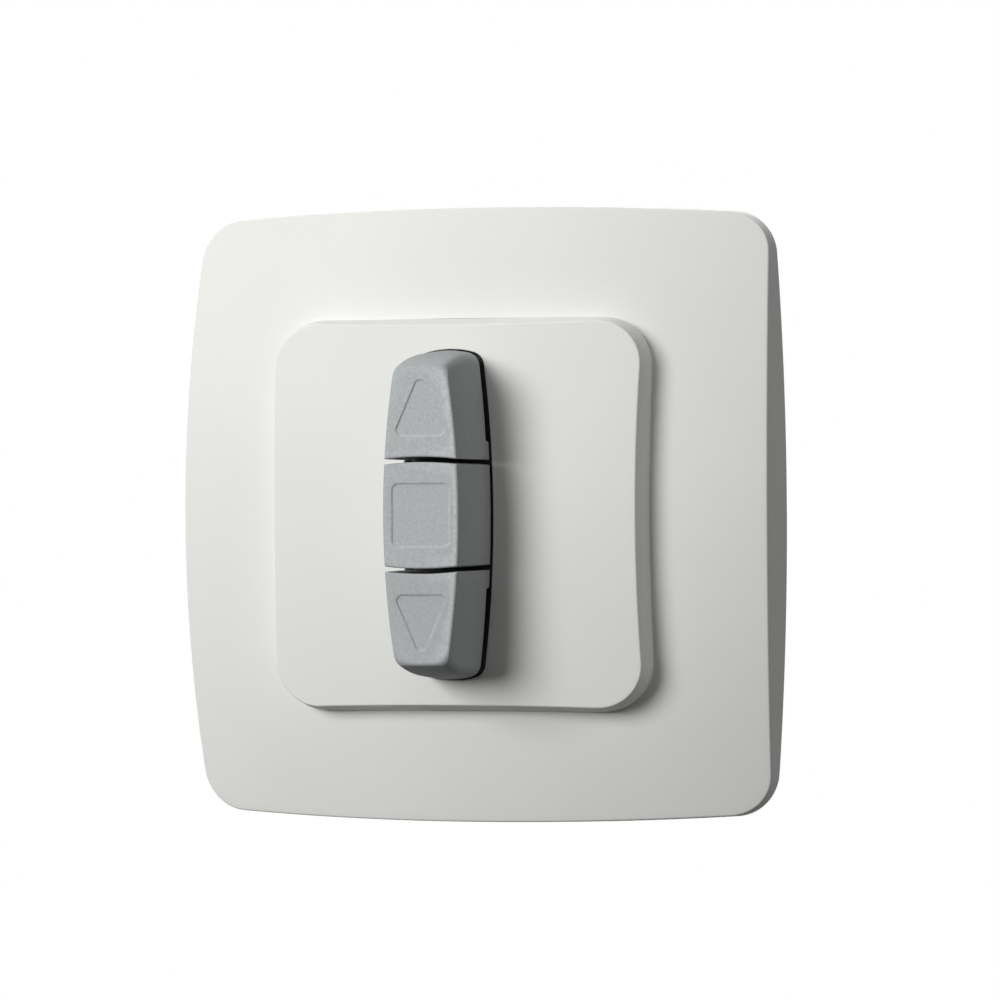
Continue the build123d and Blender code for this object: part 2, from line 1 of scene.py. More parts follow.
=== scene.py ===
import bpy
import bmesh
import numpy as np
from mathutils import Matrix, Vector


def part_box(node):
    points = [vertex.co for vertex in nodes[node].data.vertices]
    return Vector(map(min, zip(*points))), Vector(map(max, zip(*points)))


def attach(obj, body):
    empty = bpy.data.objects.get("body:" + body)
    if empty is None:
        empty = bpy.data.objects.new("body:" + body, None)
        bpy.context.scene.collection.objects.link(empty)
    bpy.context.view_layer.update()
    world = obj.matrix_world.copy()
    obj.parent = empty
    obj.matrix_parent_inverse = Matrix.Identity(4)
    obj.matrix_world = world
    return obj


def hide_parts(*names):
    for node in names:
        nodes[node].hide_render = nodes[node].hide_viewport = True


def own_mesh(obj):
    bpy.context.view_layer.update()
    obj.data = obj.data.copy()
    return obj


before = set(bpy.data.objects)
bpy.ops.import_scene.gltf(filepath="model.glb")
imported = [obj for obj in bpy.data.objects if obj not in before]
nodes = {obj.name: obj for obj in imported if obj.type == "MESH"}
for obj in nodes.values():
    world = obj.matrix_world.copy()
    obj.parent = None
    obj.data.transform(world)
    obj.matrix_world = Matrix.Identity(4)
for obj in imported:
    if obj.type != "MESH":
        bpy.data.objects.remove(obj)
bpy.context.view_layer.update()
mm = 0.001
print("frame loaded:", len(nodes), "nodes")


# Shapes are worked out in millimetres: across to the right, up the wall, and out of the wall.
# The object's own axes are x = across, y = -out, z = up, in metres.
def toRow(across, up, out):
    return np.stack(np.broadcast_arrays(across, -np.asarray(out), up), axis=-1) * mm


def sagitta(radius, halfChord):
    return radius - np.sqrt(radius ** 2 - halfChord ** 2)


def domeOut(crown, radius, place):
    return crown - radius + np.sqrt(radius ** 2 - (place ** 2).sum(-1))


# Closed outline with bowed sides and round corners, anticlockwise from the lower end of the right side.
# A circle of the corner's radius rolls round a smaller bowed rectangle, so each point is the centre of
# an arc plus its radius times the outward direction, and the outline can be shifted along that direction.
def bowedOutline(halfX, halfY, bowX, bowY, corner, sideSteps=40, cornerSteps=16, rounds=12):
    innerX, innerY, pullX, pullY = halfX - corner, halfY - corner, bowX - corner, bowY - corner
    cornerX, cornerY = innerX, innerY
    for _ in range(rounds):
        cornerX = innerX - sagitta(pullX, cornerY)
        cornerY = innerY - sagitta(pullY, cornerX)
    tiltX, tiltY = np.arcsin(cornerY / pullX), np.arcsin(cornerX / pullY)
    half = np.pi / 2
    arcs = [
        (innerX - pullX, 0, bowX, -tiltX, tiltX, sideSteps),
        (cornerX, cornerY, corner, tiltX, half - tiltY, cornerSteps),
        (0, innerY - pullY, bowY, half - tiltY, half + tiltY, sideSteps),
        (-cornerX, cornerY, corner, half + tiltY, 2 * half - tiltX, cornerSteps),
        (pullX - innerX, 0, bowX, 2 * half - tiltX, 2 * half + tiltX, sideSteps),
        (-cornerX, -cornerY, corner, 2 * half + tiltX, 3 * half - tiltY, cornerSteps),
        (0, pullY - innerY, bowY, 3 * half - tiltY, 3 * half + tiltY, sideSteps),
        (cornerX, -cornerY, corner, 3 * half + tiltY, 4 * half - tiltX, cornerSteps),
    ]
    angle = np.concatenate([np.linspace(a, b, n, endpoint=False) for _, _, _, a, b, n in arcs])
    centre = np.concatenate([np.tile((x, y), (n, 1)) for x, y, _, _, _, n in arcs])
    radius = np.concatenate([np.full(n, r) for _, _, r, _, _, n in arcs])
    outward = np.stack([np.cos(angle), np.sin(angle)], axis=-1)
    return centre + radius[:, None] * outward, outward


straight = 1e4  # bow radius of a side that is as good as straight


def roundSquare(half, corner):
    return bowedOutline(half, half, straight, straight, corner)


# Where a leaning wall meets a dome: the wall moves in by lean for each millimetre it rises
def meetDome(foot, outward, footOut, lean, crown, radius, rounds=30):
    out = np.full(len(foot), float(crown))
    for _ in range(rounds):
        place = foot - ((out - footOut) * lean)[:, None] * outward
        out = domeOut(crown, radius, place)
    return place, out


# Rounded edge from a dome to the wall below it, in the plane of each outward direction: the arc turns
# from the dome's slope to the wall's lean and touches both
def roundEdge(place, outward, out, lean, edgeRadius, domeRadius, steps):
    slope = -(place * outward).sum(1) / np.sqrt(domeRadius ** 2 - (place ** 2).sum(1))
    start, end = np.arctan(slope), np.arctan2(-1, lean)
    reach = edgeRadius * np.tan((start - end) / 2)
    turn = start + (end - start) * np.linspace(0, 1, steps)[:, None]
    shift = edgeRadius * (np.sin(start) - np.sin(turn)) - reach * np.cos(start)
    lift = edgeRadius * (np.cos(turn) - np.cos(start)) - reach * np.sin(start)
    return place + shift[..., None] * outward, out + lift


# Rings between two rings, evenly spaced
def between(first, last, steps):
    return first + (last - first) * np.linspace(0, 1, steps)[:, None, None]


# Quads between rings of points that each close on themselves; closed joins the last ring to the first,
# and a pole closes an end with a fan of triangles
def skin(rings, closed=False, firstPole=None, lastPole=None):
    count, size = rings.shape[:2]
    index = np.arange(count * size).reshape(count, size)
    low = index if closed else index[:-1]
    high = np.roll(index, -1, axis=0) if closed else index[1:]
    quads = np.stack([low, np.roll(low, -1, axis=1), np.roll(high, -1, axis=1), high], axis=-1)
    points, faces = rings.reshape(-1, 3), quads.reshape(-1, 4).tolist()
    for pole, ring in ((firstPole, index[0]), (lastPole, index[-1])):
        if pole is not None:
            tip = np.full(size, len(points))
            points = np.concatenate([points, pole[None]])
            faces += np.stack([ring, np.roll(ring, -1), tip], axis=-1).tolist()
    return points, faces


# A flat profile in the plane of across and out, carried up the wall from one level to another
def carriedProfile(across, out, low, high):
    count = len(across)
    points = np.concatenate([toRow(across, low, out), toRow(across, high, out)])
    here = np.arange(count)
    ahead = np.roll(here, -1)
    faces = np.stack([here, ahead, ahead + count, here + count], axis=-1).tolist()
    return points, faces + [here.tolist(), (here + count).tolist()]


# Parts turned about the wall's normal by a number of degrees
def turned(part, degrees):
    spin = np.array(Matrix.Rotation(np.radians(degrees), 3, "Y"))
    return part[0] @ spin.T, part[1]


sharpAngle = np.radians(32)  # edges that turn further than this stay sharp


# One mesh from several parts, with its body and the node that it stands for; the last argument is the
# painted light and shade for each point of each part
def makePiece(name, parts, body, replaced, paintedLight=None):
    starts = np.cumsum([0] + [len(points) for points, _ in parts])
    faces = [[i + start for i in face] for (_, part), start in zip(parts, starts) for face in part]
    mesh = bpy.data.meshes.new(name)
    mesh.from_pydata(np.concatenate([points for points, _ in parts]).tolist(), [], faces)
    work = bmesh.new()
    work.from_mesh(mesh)
    bmesh.ops.recalc_face_normals(work, faces=work.faces)
    work.to_mesh(mesh)
    work.free()
    mesh.polygons.foreach_set("use_smooth", np.ones(len(mesh.polygons), bool))
    mesh.set_sharp_from_angle(angle=sharpAngle)
    if paintedLight is not None:
        mesh.attributes.new("paintedLight", "FLOAT", "POINT").data.foreach_set("value", np.concatenate(paintedLight))
    piece = bpy.data.objects.new(name, mesh)
    bpy.context.scene.collection.objects.link(piece)
    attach(piece, body)
    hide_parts(replaced)
    print("made", name, "with", len(mesh.polygons), "faces")
    return piece


# Cover frame: ledge, opening, domed front, round edge, leaning wall, and the hollow back with its ribs
coverFrame = {
    "half": 40.5,
    "edgeOut": 7.8,
    "dome": 128.0,
    "bow": 500.0,
    "corner": 6.0,
    "draft": 2.9,
    "wall": 2.2,
    "edgeRound": 0.4,
    "openingBreak": 0.012,
    "collarWall": 1.6,
    "ledge": 1.6,
    "ledgeOverlap": 2.4,
    "ribThickness": 1.2,
    "ribSpread": 14.0,
    "ribSink": 0.3,
    "edgeSteps": 9,
    "frontSteps": 18,
    "wallSteps": 5,
    "ceilingSteps": 8,
}
# Centre plate: foot, leaning wall, round edge, domed front, the keys' opening, and the hollow back with legs
centrePlate = {
    "half": 24.65,
    "rise": 3.7,
    "dome": 140.0,
    "corner": 5.7,
    "flare": 0.85,
    "wall": 2.0,
    "edgeRound": 0.3,
    "openingBreak": 0.08,
    "gap": 0.006,
    "seatDepth": 1.8,
    "skirt": 3.5,
    "legWidth": 6.0,
    "legPlace": 10.0,
    "legThickness": 1.3,
    "legFace": 21.025,
    "legFoot": 5.8,
    "noseReach": 0.8,
    "noseHeight": 1.8,
    "edgeSteps": 9,
    "wallSteps": 5,
    "frontSteps": 26,
    "underSteps": 12,
}
frameLean = np.tan(np.radians(coverFrame["draft"]))
edgeHalf = coverFrame["half"] - coverFrame["edgeOut"] * frameLean
frameCrown = coverFrame["edgeOut"] + sagitta(coverFrame["dome"], edgeHalf)
footHalf = centrePlate["half"] + centrePlate["flare"]
footCorner = centrePlate["corner"] + centrePlate["flare"]
footReach = (footHalf - footCorner) * np.sqrt(2) + footCorner
plateSeat = frameCrown - sagitta(coverFrame["dome"], footReach) - centrePlate["seatDepth"]
plateShoulder = plateSeat + centrePlate["skirt"]
plateEdgeOut = frameCrown - sagitta(coverFrame["dome"], footHalf) + centrePlate["rise"]
plateCrown = plateEdgeOut + sagitta(centrePlate["dome"], centrePlate["half"])


# Rings of points at places across and up, each at its distance out of the wall
def ringsAt(places, outs):
    places = np.asarray(places)
    outs = np.broadcast_to(outs, places.shape[:-1])
    return toRow(places[..., 0], places[..., 1], outs)


def makeCoverFrame(v=coverFrame):
    foot, outward = bowedOutline(v["half"], v["half"], v["bow"], v["bow"], v["corner"])
    inner, _ = bowedOutline(
        v["half"] - v["wall"], v["half"] - v["wall"], v["bow"], v["bow"], v["corner"] - v["wall"]
    )
    openingHalf, openingCorner = footHalf + centrePlate["gap"], footCorner + centrePlate["gap"]
    ledgeBottom = plateSeat - v["ledge"]
    ledgeEdge, _ = roundSquare(footHalf - v["ledgeOverlap"], footCorner - v["ledgeOverlap"])
    opening, openingOutward = roundSquare(openingHalf, openingCorner)
    collar, _ = roundSquare(openingHalf + v["collarWall"], openingCorner + v["collarWall"])
    lip = opening + v["openingBreak"] * openingOutward
    edge, edgeOut = meetDome(foot, outward, 0, frameLean, frameCrown, v["dome"])
    arc, arcOut = roundEdge(edge, outward, edgeOut, frameLean, v["edgeRound"], v["dome"], v["edgeSteps"])
    front = between(lip, arc[0], v["frontSteps"])
    wallOut = np.linspace(1, 0, v["wallSteps"])[:, None] * arcOut[-1]
    wall = foot - (wallOut * frameLean)[..., None] * outward
    hollowDome = v["dome"] - v["wall"]
    hollowCrown = frameCrown - v["wall"]
    ceiling = between(inner, collar, v["ceilingSteps"])
    rings = [
        ringsAt([ledgeEdge, ledgeEdge, opening], np.array([ledgeBottom, plateSeat, plateSeat])[:, None]),
        ringsAt([opening], domeOut(frameCrown, v["dome"], opening) - v["openingBreak"]),
        ringsAt(front[:-1], domeOut(frameCrown, v["dome"], front[:-1])),
        ringsAt(arc, arcOut),
        ringsAt(wall[1:], wallOut[1:]),
        ringsAt([inner], 0),
        ringsAt(ceiling, domeOut(hollowCrown, hollowDome, ceiling)),
        ringsAt([collar], ledgeBottom),
    ]
    parts = [skin(np.concatenate(rings), closed=True)]
    near = openingHalf + v["collarWall"] - v["ribSink"]
    far = v["half"] - v["wall"] + v["ribSink"]
    for place in (-v["ribSpread"], v["ribSpread"]):
        ends = np.array([[near, place], [far, place]])
        top = domeOut(hollowCrown, hollowDome, ends) + v["ribSink"]
        rib = carriedProfile(
            np.array([near, far, far, near]),
            np.array([ledgeBottom, ledgeBottom, top[1], top[0]]),
            place - v["ribThickness"] / 2,
            place + v["ribThickness"] / 2,
        )
        parts += [turned(rib, 90 * quarter) for quarter in range(4)]
    return makePiece("cover_frame_moulding", parts, "wall_unit", "cover_frame")


# Keys: the strip's outline at each level, split by curved gaps, on a boss in the plate's opening
keyShape = {
    "rise": 10.7,
    "width": 10.25,
    "draft": 3.7,
    "frontLength": 38.2,
    "footLength": 42.6,
    "endBulge": 0.5,
    "sideBow": 118.0,
    "frontEndBow": 40.0,
    "footEndBow": 12.0,
    "frontCorner": 1.2,
    "footCorner": 2.0,
    "frontRound": 0.4,
    "endRound": 0.35,
    "rimCorner": 2.4,
    "wall": 1.3,
    "innerCorner": 0.4,
    "gap": 0.64,
    "gapPlace": 7.12,
    "gapBow": 42.0,
    "gapRound": 0.25,
    "edgeSoftness": 0.05,
    "sideGap": 0.34,
    "endGap": 0.12,
    "skirtStep": 0.9,
    "skirtStepPlace": 9.4,
    "recessDepth": 0.2,
    "recessSlope": 0.13,
    "recessRound": 0.06,
    "recessFloor": 0.5,
    "recessEase": 3,
    # painted light on each key's front: paler on the upper keys and darker on the lower
    "paintedLight": {"up": 1.1, "stop": 0.95, "down": 0.6},
    "paintedFrontEnd": 6,
    # a painted highlight in a band along each key's right edge, over these rings from the rim
    "highlightBandRings": (-4, -1, 0, 5),
    "paintedHighlightBand": (0, 0.8, 0.7, 0),
    "highlightSideWeight": 1.6,
    "highlightSideLeast": 0.15,
    "arrowBase": 10.1,
    "arrowHeight": 8.4,
    "arrowWidth": 7.5,
    "arrowCorner": 0.8,
    "squareWidth": 7.8,
    "squareHeight": 8.2,
    "squareCorner": 0.9,
    "arrowCentre": 13.3,
    "stemPlace": 13.5,
    "stemWidth": 5.0,
    "stemHeight": 6.0,
    "stemRib": 1.4,
    "hookReach": 0.75,
    "hookHeight": 1.0,
    "directions": 540,
    "sideSteps": 200,
    "cornerSteps": 40,
    "levels": 60,
    "lowestLevel": 6.0,
    "gapBlend": 0.1,
    "blendLimit": 50,
    "rimSteps": 9,
    "wallSteps": 22,
    "hollowSteps": 7,
    "frontSteps": 7,
    "skirtRounds": 8,
}
keyFront = plateCrown + keyShape["rise"]
keyLean = np.tan(np.radians(keyShape["draft"]))
stripFoot = plateCrown - sagitta(centrePlate["dome"], keyShape["footLength"] / 2)


# Value at a level of a cubic through four levels: one below the foot, the foot, the middle and the front
def throughLevels(level, below, foot, middle, front):
    t = 2 * (level - stripFoot) / (keyFront - stripFoot)
    return (
        -below * t * (t - 1) * (t - 2) / 6
        + foot * (t + 1) * (t - 1) * (t - 2) / 2
        - middle * (t + 1) * t * (t - 2) / 2
        + front * (t + 1) * t * (t - 1) / 6
    )


# Outline of the whole strip at a level, moved in and with another corner where asked
def stripOutline(level, insetX=0.0, insetY=0.0, corner=None, v=keyShape):
    middleLength = (v["footLength"] + v["frontLength"]) / 2 + 2 * v["endBulge"]
    belowLength = 2 * v["footLength"] - middleLength
    length = throughLevels(level, belowLength, v["footLength"], middleLength, v["frontLength"])
    middleCorner = (v["footCorner"] + v["frontCorner"]) / 2
    if corner is None:
        corner = throughLevels(level, v["footCorner"], v["footCorner"], middleCorner, v["frontCorner"])
    # the ends are flat at the front and round at the foot
    middleBow = 2 / (1 / v["footEndBow"] + 1 / v["frontEndBow"])
    endCurve = throughLevels(
        level, 1 / v["footEndBow"], 1 / v["footEndBow"], 1 / middleBow, 1 / v["frontEndBow"]
    )
    halfX = v["width"] / 2 + (keyFront - level) * keyLean - insetX
    halfY = length / 2 - insetY
    steps = v["sideSteps"], v["cornerSteps"]
    return bowedOutline(halfX, halfY, v["sideBow"], 1 / endCurve, corner, *steps)[0]


# The plate's opening lies a narrow gap outside the strip's foot
def keyOpening(v=keyShape):
    halfX = v["width"] / 2 + v["rise"] * keyLean + v["sideGap"]
    halfY = v["footLength"] / 2 + v["endGap"]
    return bowedOutline(halfX, halfY, v["sideBow"], v["footEndBow"], v["footCorner"])


def makeCentrePlate(v=centrePlate):
    foot, outward = roundSquare(footHalf, footCorner)
    lean = v["flare"] / (plateEdgeOut - plateShoulder)
    edge, edgeOut = meetDome(foot, outward, plateShoulder, lean, plateCrown, v["dome"])
    arc, arcOut = roundEdge(edge, outward, edgeOut, lean, v["edgeRound"], v["dome"], v["edgeSteps"])
    share = np.linspace(0, 1, v["wallSteps"])[:-1, None]
    wall = foot + share[..., None] * (arc[-1] - foot)
    wallOut = plateShoulder + share * (arcOut[-1] - plateShoulder)
    opening, openingOutward = keyOpening()
    lip = opening + v["openingBreak"] * openingOutward
    front = between(arc[0], lip, v["frontSteps"])
    hollowHalf = footHalf - v["wall"] - v["flare"] / 2
    hollow, _ = roundSquare(hollowHalf, footCorner - v["wall"])
    underCrown, underDome = plateCrown - v["wall"], v["dome"] - v["wall"]
    under = between(opening, hollow, v["underSteps"])
    rings = [
        ringsAt([foot], plateSeat),
        ringsAt(wall, wallOut),
        ringsAt(arc[::-1], arcOut[::-1]),
        ringsAt(front[1:], domeOut(plateCrown, v["dome"], front[1:])),
        ringsAt([opening], domeOut(plateCrown, v["dome"], opening) - v["openingBreak"]),
        ringsAt(under, domeOut(underCrown, underDome, under)),
        ringsAt([hollow], plateSeat),
    ]
    parts = [skin(np.concatenate(rings), closed=True)]
    face, back = v["legFace"], v["legFace"] + v["legThickness"]
    nose = v["legFoot"] + v["noseHeight"]
    for place in (-v["legPlace"], v["legPlace"]):
        top = domeOut(plateCrown, v["dome"], np.array([back, place])) - v["wall"] / 2
        leg = carriedProfile(
            np.array([face, face, face - v["noseReach"], face, back, back]),
            np.array([top, nose, nose, v["legFoot"], v["legFoot"], top]),
            place - v["legWidth"] / 2,
            place + v["legWidth"] / 2,
        )
        parts += [leg, turned(leg, 180)]
    return makePiece("centre_plate_moulding", parts, "wall_unit", "centre_plate")


# Distance of a closed outline from a point on the strip's middle line, in each direction
def reachOf(outline, centreUp, directions):
    offset = outline - np.array([0.0, centreUp])
    angle = np.arctan2(offset[:, 1], offset[:, 0]) % (2 * np.pi)
    order = np.argsort(angle)
    return np.interp(directions, angle[order], np.hypot(*offset.T)[order], period=2 * np.pi)


unmet = 1e3  # distance in directions that don't meet the gap


# Distance of a gap's edge in each direction: the ray meets the gap's circle, which the arrow key lies
# outside and the square key inside, above and below
def gapReach(inset, centreUp, directions, isArrow, v=keyShape):
    edge = v["gapPlace"] + (v["gap"] / 2 + inset) * (1 if isArrow else -1)
    bow = v["gapBow"] + edge - v["gapPlace"]
    offset = centreUp - (edge - bow)
    root = bow ** 2 - (offset * np.cos(directions)) ** 2
    if isArrow:
        reach = -offset * np.sin(directions) - np.sqrt(np.maximum(root, 0))
        return np.where((root > 0) & (reach > 0), reach, unmet)
    return -offset * np.abs(np.sin(directions)) + np.sqrt(root)


# Soft minimum, which rounds the edge where two surfaces meet
def softMinimum(first, second, softness):
    return -softness * np.logaddexp(-first / softness, -second / softness)


# Polygon with round corners: a circle rolls round the polygon that lies one radius further in
def roundPolygon(corners, radius, steps=40, spreadSteps=3000):
    side = np.roll(corners, -1, axis=0) - corners
    after = np.stack([side[:, 1], -side[:, 0]], axis=-1) / np.hypot(*side.T)[:, None]
    before = np.roll(after, 1, axis=0)
    inner = corners - radius * (before + after) / (1 + (before * after).sum(1))[:, None]
    start = np.arctan2(before[:, 1], before[:, 0])
    turn = (np.arctan2(after[:, 1], after[:, 0]) - start) % (2 * np.pi)
    angle = start[:, None] + turn[:, None] * np.linspace(0, 1, steps)
    points = inner[:, None] + radius * np.stack([np.cos(angle), np.sin(angle)], axis=-1)
    loop = points.reshape(-1, 2)
    loop = np.concatenate([loop, loop[:1]])
    length = np.concatenate([[0], np.cumsum(np.hypot(*np.diff(loop, axis=0).T))])
    spread = np.linspace(0, length[-1], spreadSteps, endpoint=False)
    return np.stack([np.interp(spread, length, loop[:, i]) for i in range(2)], axis=-1)


# Key cap: recessed front, round rim, drafted walls and the hollow behind, as rings round a middle point,
# with the painted light and shade at each point
def keyCap(isArrow, highlightSide, keyFrontLight, v=keyShape):
    centreUp = v["arrowCentre"] if isArrow else 0.0
    directions = np.linspace(0, 2 * np.pi, v["directions"], endpoint=False)
    soft = v["edgeSoftness"]

    def reachAt(level, insetX, insetY, insetGap, corner=None):
        strip = reachOf(stripOutline(level, insetX, insetY, corner), centreUp, directions)
        return softMinimum(strip, gapReach(insetGap, centreUp, directions, isArrow), soft)

    def place(reach):
        return np.stack([reach * np.cos(directions), centreUp + reach * np.sin(directions)], axis=-1)

    # the walls' reach on a ladder of levels, read at any level in between
    levels = np.linspace(plateCrown - v["lowestLevel"], keyFront, v["levels"])
    outerWall = np.array([reachAt(level, 0, 0, 0) for level in levels])
    innerWall = np.array([
        reachAt(level, v["wall"], v["wall"], v["wall"], v["innerCorner"]) for level in levels
    ])

    topStep = len(levels) - 1.001  # just under the last level, which has none above it

    def read(table, level):
        step = np.clip((level - levels[0]) / (levels[1] - levels[0]), 0, topStep)
        low = step.astype(int)
        column = np.arange(len(directions))
        return table[low, column] * (1 - step + low) + table[low + 1, column] * (step - low)

    # the gap's rim has a smaller round than the strip's rim, and the strip's corners have a larger one
    stripReach = reachOf(stripOutline(keyFront), centreUp, directions)
    pastStrip = (gapReach(0, centreUp, directions, isArrow) - stripReach) / v["gapBlend"]
    atGap = 1 / (1 + np.exp(np.clip(pastStrip, -v["blendLimit"], v["blendLimit"])))
    insets = v["frontRound"], v["endRound"], v["gapRound"]
    sharp = reachAt(keyFront, *insets, v["frontCorner"] - v["endRound"])
    eased = reachAt(keyFront, *insets, v["rimCorner"])
    rimRound = v["frontRound"] * (1 - atGap) + v["gapRound"] * atGap + sharp - eased
    rimPlaces, rimOuts = [], []
    for turn in np.linspace(np.pi / 2, 0, v["rimSteps"]):
        inward, below = 1 - np.cos(turn), 1 - np.sin(turn)
        rimOuts.append(keyFront - rimRound * below)
        rimPlaces.append(place(read(outerWall, rimOuts[-1]) - (outerWall[-1] - eased) * inward))
    # the skirt follows the plate's dome, and the outer ends stop short of it
    skirt = np.full(len(directions), stripFoot)
    for _ in range(v["skirtRounds"]):
        foot = place(read(outerWall, skirt))
        lifted = np.where(np.abs(foot[:, 1]) > v["skirtStepPlace"], v["skirtStep"], 0.0)
        skirt = domeOut(plateCrown, centrePlate["dome"], foot) + lifted
    wallOuts = rimOuts[-1] + (skirt - rimOuts[-1]) * np.linspace(0, 1, v["wallSteps"])[1:, None]
    wallPlaces = np.array([place(read(outerWall, level)) for level in wallOuts])
    roof = keyFront - v["wall"]
    hollowOuts = skirt + (roof - skirt) * np.linspace(0, 1, v["hollowSteps"])[:, None]
    hollowPlaces = np.array([place(read(innerWall, level)) for level in hollowOuts])

    # the recess: a floor, a short slope and a small round up to the front
    if isArrow:
        base, half = v["arrowBase"], v["arrowWidth"] / 2
        corners = np.array([[-half, base], [half, base], [0, base + v["arrowHeight"]]])
        recess = roundPolygon(corners, v["arrowCorner"])
    else:
        half, high = v["squareWidth"] / 2, v["squareHeight"] / 2
        corners = np.array([[-half, -high], [half, -high], [half, high], [-half, high]])
        recess = roundPolygon(corners, v["squareCorner"])
    recessReach = reachOf(recess, centreUp, directions)
    floor = keyFront - v["recessDepth"]
    slope, small, ease = v["recessSlope"], v["recessRound"], v["recessEase"] * v["recessRound"]
    recessSteps = [
        (recessReach * v["recessFloor"], floor),
        (recessReach - slope - ease, floor),
        (recessReach - slope - small, floor),
        (recessReach - slope, floor + small / 2),
        (recessReach, keyFront - small / 2),
        (recessReach + small, keyFront),
        (recessReach + ease, keyFront),
    ]
    recessPlaces = np.array([place(reach) for reach, _ in recessSteps])
    recessOuts = np.array([out for _, out in recessSteps])[:, None]
    front = between(recessPlaces[-1], rimPlaces[0], v["frontSteps"])[1:-1]
    rings = np.concatenate([
        ringsAt(recessPlaces, recessOuts),
        ringsAt(front, keyFront),
        ringsAt(np.array(rimPlaces), np.array(rimOuts)),
        ringsAt(wallPlaces, wallOuts),
        ringsAt(hollowPlaces, hollowOuts),
    ])
    # painted light: the fronts are painted pale, the upper keys more than the lower, with a painted highlight
    # in a band along the right edge; the walls stay darker as painted shade. Rings count from the rim's first
    # one.
    rimStart = len(recessPlaces) + len(front)
    ring = np.arange(len(rings)) - rimStart
    paintedFront = keyFrontLight * np.interp(ring, (0, v["paintedFrontEnd"]), (1, 0))
    paintedHighlightBand = np.interp(ring, v["highlightBandRings"], v["paintedHighlightBand"])
    highlightOfSide = np.clip(highlightSide * np.cos(directions) * v["highlightSideWeight"], v["highlightSideLeast"], 1)
    paintedLight = np.append(paintedFront[:, None] + paintedHighlightBand[:, None] * highlightOfSide, (keyFrontLight, 0))
    return skin(rings, firstPole=toRow(0, centreUp, floor), lastPole=toRow(0, centreUp, roof)), paintedLight


# The key's stem is a cross with a hook on each side; it ends where the switch's stem begins
def keyStem(up, v=keyShape):
    foot = -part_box("stop_key")[1].y / mm
    roof = keyFront - v["wall"]
    edge, rib = v["stemWidth"] / 2, v["stemRib"] / 2
    tip, hookTop = edge + v["hookReach"], foot + v["hookHeight"]
    wide = carriedProfile(
        np.array([-edge, edge, tip, edge, edge, -edge, -edge, -tip]),
        np.array([foot, foot, hookTop, hookTop, roof, roof, hookTop, hookTop]),
        up - rib,
        up + rib,
    )
    tall = carriedProfile(
        np.array([-rib, rib, rib, -rib]),
        np.array([foot, foot, roof, roof]),
        up - v["stemHeight"] / 2,
        up + v["stemHeight"] / 2,
    )
    return [wide, tall]


def makeKeys():
    for name, turn in (("up", 0), ("stop", 0), ("down", 180)):
        isArrow = name != "stop"
        # each key's painted light on its front and the side of its painted highlight band; the stems get none
        cap, paintedLight = keyCap(isArrow, -1 if turn else 1, keyShape["paintedLight"][name])
        stem = keyStem(keyShape["stemPlace"] if isArrow else 0.0)
        parts = [turned(part, turn) for part in [cap] + stem]
        unpainted = [np.zeros(len(points)) for points, _ in stem]
        makePiece(
            name + "_key_cap", parts, name + "_button", name + "_key", paintedLight=[paintedLight] + unpainted
        )


# Return springs under the switches' stems: a round wire carried along a coil whose ends lie flat
coilSpring = {"radius": 1.4, "wire": 0.13, "turns": 2.5, "steps": 180, "wireSteps": 12, "travel": 1.0}


# out = low + height * (3 t^2 - 2 t^3) while the coil turns evenly with t
def makeSpring(name, v=coilSpring):
    node = name + "_switch_spring"
    low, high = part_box(node)
    floor, top, up = -high.y / mm, -low.y / mm, (low.z + high.z) / 2 / mm
    t = np.linspace(0, 1, v["steps"])[:, None]
    turn = 2 * np.pi * v["turns"] * t
    around = np.linspace(0, 2 * np.pi, v["wireSteps"], endpoint=False)
    reach = v["radius"] + v["wire"] * np.cos(around)
    out = floor + v["wire"] + (top - floor - 2 * v["wire"]) * (3 * t ** 2 - 2 * t ** 3)
    rings = toRow(reach * np.cos(turn), up + reach * np.sin(turn), out + v["wire"] * np.sin(around))
    coil = skin(rings, firstPole=rings[0].mean(0), lastPole=rings[-1].mean(0))
    piece = makePiece(name + "_return_spring", [coil], "wall_unit", node)
    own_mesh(piece)


makeCoverFrame()
makeCentrePlate()
makeKeys()
for name in ("up", "stop", "down"):
    makeSpring(name)

# Camera at the photograph's angle, in degrees and millimetres
photoView = {
    "turn": 18.35,
    "lift": 0.1,
    "roll": -0.271,
    "distance": 804.6,
    "sideways": 1.245,
    "upward": 1.871,
    "lens": 219.92,
    "sensor": 36.0,
    "nearest": 10.0,
}


# Pose of a camera or lamp from its right, its up and its back, and its place
def poseFrom(right, above, back, place):
    pose = np.eye(4)
    pose[:3] = np.stack([right, above, back, place], axis=-1)
    return Matrix(pose.tolist())


def makeCamera(v=photoView):
    turn, lift, roll = np.radians([v["turn"], v["lift"], v["roll"]])
    towards = np.array([np.sin(turn) * np.cos(lift), -np.cos(turn) * np.cos(lift), np.sin(lift)])
    right = np.array([np.cos(turn), np.sin(turn), 0.0])
    above = np.cross(towards, right)
    rightRolled = np.cos(roll) * right + np.sin(roll) * above
    aboveRolled = np.cos(roll) * above - np.sin(roll) * right
    spot = v["distance"] * towards + v["sideways"] * rightRolled + v["upward"] * aboveRolled
    lensData = bpy.data.cameras.new("photo_camera")
    lensData.lens = v["lens"]
    lensData.sensor_width = v["sensor"]
    lensData.clip_start = v["nearest"] * mm
    camera = bpy.data.objects.new("photo_camera", lensData)
    bpy.context.scene.collection.objects.link(camera)
    camera.matrix_world = poseFrom(rightRolled, aboveRolled, towards, spot * mm)
    bpy.context.scene.camera = camera


makeCamera()
bpy.context.scene.view_settings.view_transform = "Standard"


# Shader trees: an input takes a value or another node's output
def feed(tree, socket, value):
    if isinstance(value, bpy.types.NodeSocket):
        tree.links.new(value, socket)
    else:
        socket.default_value = value


